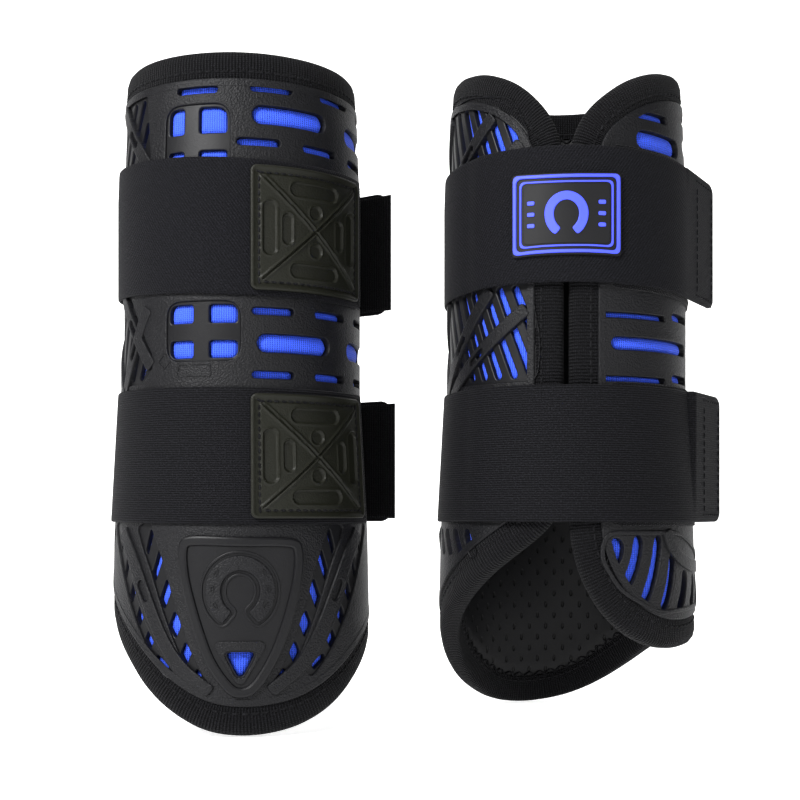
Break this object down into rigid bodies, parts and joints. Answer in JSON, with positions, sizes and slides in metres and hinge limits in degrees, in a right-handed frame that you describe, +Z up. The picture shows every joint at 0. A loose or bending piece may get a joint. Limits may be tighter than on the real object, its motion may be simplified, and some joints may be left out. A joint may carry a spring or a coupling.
{
  "type": "horse tendon boots",
  "caption": "Pair of moulded horse tendon boots with vented shell, spacer mesh, bound edge, perforated lining and two elastic hook-and-loop straps on each boot.",
  "frame": {"origin": "on the right foreleg's axis, at the middle of the straight length of the right boot's lining", "axes": "+Z up the leg towards the knee; +X from the right boot to the left boot; the right boot's back and the left boot's front opening face -Y"},
  "size_m": [0.247, 0.1071, 0.2548],
  "materials": {
    "moulded_shell": "fine grained matte thermoplastic rubber",
    "spacer_mesh": "bright blue knitted spacer mesh",
    "strike_plate": "smooth thin sheet",
    "neoprene": "matte perforated neoprene",
    "woven_binding": "ribbed woven tape",
    "elastic_webbing": "fine ribbed elastic",
    "loop_fabric": "brushed loop pile",
    "hook_tape": "moulded hooks",
    "patch_rubber": "matte moulded rubber",
    "badge_rubber": "matte soft rubber with a blue raised frame"
  },
  "bodies": {
    "right_boot": {"right_boot_outer_shell": "moulded_shell", "right_boot_spacer_mesh": "spacer_mesh", "right_boot_tendon_strike_plate": "strike_plate", "right_boot_inner_lining": "neoprene", "right_boot_edge_binding": "woven_binding", "right_boot_upper_strap_back": "elastic_webbing", "right_boot_upper_loop_panel": "loop_fabric", "right_boot_upper_anchor_patch": "patch_rubber", "right_boot_lower_strap_back": "elastic_webbing", "right_boot_lower_loop_panel": "loop_fabric", "right_boot_lower_anchor_patch": "patch_rubber"},
    "right_upper_strap": {"right_boot_upper_strap_front": "elastic_webbing", "right_boot_badge": "badge_rubber"},
    "right_upper_tab": {"right_boot_upper_strap_tab": "elastic_webbing", "right_boot_upper_hook_pad": "hook_tape"},
    "right_lower_strap": {"right_boot_lower_strap_front": "elastic_webbing"},
    "right_lower_tab": {"right_boot_lower_strap_tab": "elastic_webbing", "right_boot_lower_hook_pad": "hook_tape"},
    "left_boot": {"left_boot_outer_shell": "moulded_shell", "left_boot_spacer_mesh": "spacer_mesh", "left_boot_tendon_strike_plate": "strike_plate", "left_boot_inner_lining": "neoprene", "left_boot_edge_binding": "woven_binding", "left_boot_upper_strap_back": "elastic_webbing", "left_boot_upper_loop_panel": "loop_fabric", "left_boot_upper_anchor_patch": "patch_rubber", "left_boot_lower_strap_back": "elastic_webbing", "left_boot_lower_loop_panel": "loop_fabric", "left_boot_lower_anchor_patch": "patch_rubber"},
    "left_upper_strap": {"left_boot_upper_strap_front": "elastic_webbing", "left_boot_badge": "badge_rubber"},
    "left_upper_tab": {"left_boot_upper_strap_tab": "elastic_webbing", "left_boot_upper_hook_pad": "hook_tape"},
    "left_lower_strap": {"left_boot_lower_strap_front": "elastic_webbing"},
    "left_lower_tab": {"left_boot_lower_strap_tab": "elastic_webbing", "left_boot_lower_hook_pad": "hook_tape"}
  },
  "joints": [
    {"name": "pair_spacing", "type": "slide", "parent": "right_boot", "child": "left_boot", "axis": [1, 0, 0], "range_m": [-0.005, 0.25]},
    {"name": "right_upper_strap_swing", "type": "hinge", "parent": "right_boot", "child": "right_upper_strap", "pos_m": [-0.04916, 0.01135, 0.02505], "axis": [0, 0, 1], "range_deg": [0, 110]},
    {"name": "right_upper_tab_peel", "type": "hinge", "parent": "right_upper_strap", "child": "right_upper_tab", "pos_m": [0.02965, 0.04081, 0.02352], "axis": [0, 0, 1], "range_deg": [0, 75]},
    {"name": "right_lower_strap_swing", "type": "hinge", "parent": "right_boot", "child": "right_lower_strap", "pos_m": [-0.05187, 0.01197, -0.06309], "axis": [0, 0, 1], "range_deg": [0, 110]},
    {"name": "right_lower_tab_peel", "type": "hinge", "parent": "right_lower_strap", "child": "right_lower_tab", "pos_m": [0.0313, 0.04308, -0.0634], "axis": [0, 0, 1], "range_deg": [0, 75]},
    {"name": "left_upper_strap_swing", "type": "hinge", "parent": "left_boot", "child": "left_upper_strap", "pos_m": [0.09152, -0.03141, 0.02505], "axis": [0, 0, -1], "range_deg": [0, 110]},
    {"name": "left_upper_tab_peel", "type": "hinge", "parent": "left_upper_strap", "child": "left_upper_tab", "pos_m": [0.17534, -0.02407, 0.02352], "axis": [0, 0, -1], "range_deg": [0, 75]},
    {"name": "left_lower_strap_swing", "type": "hinge", "parent": "left_boot", "child": "left_lower_strap", "pos_m": [0.08934, -0.03314, -0.06309], "axis": [0, 0, -1], "range_deg": [0, 110]},
    {"name": "left_lower_tab_peel", "type": "hinge", "parent": "left_lower_strap", "child": "left_lower_tab", "pos_m": [0.1778, -0.02541, -0.0634], "axis": [0, 0, -1], "range_deg": [0, 75]}
  ]
}
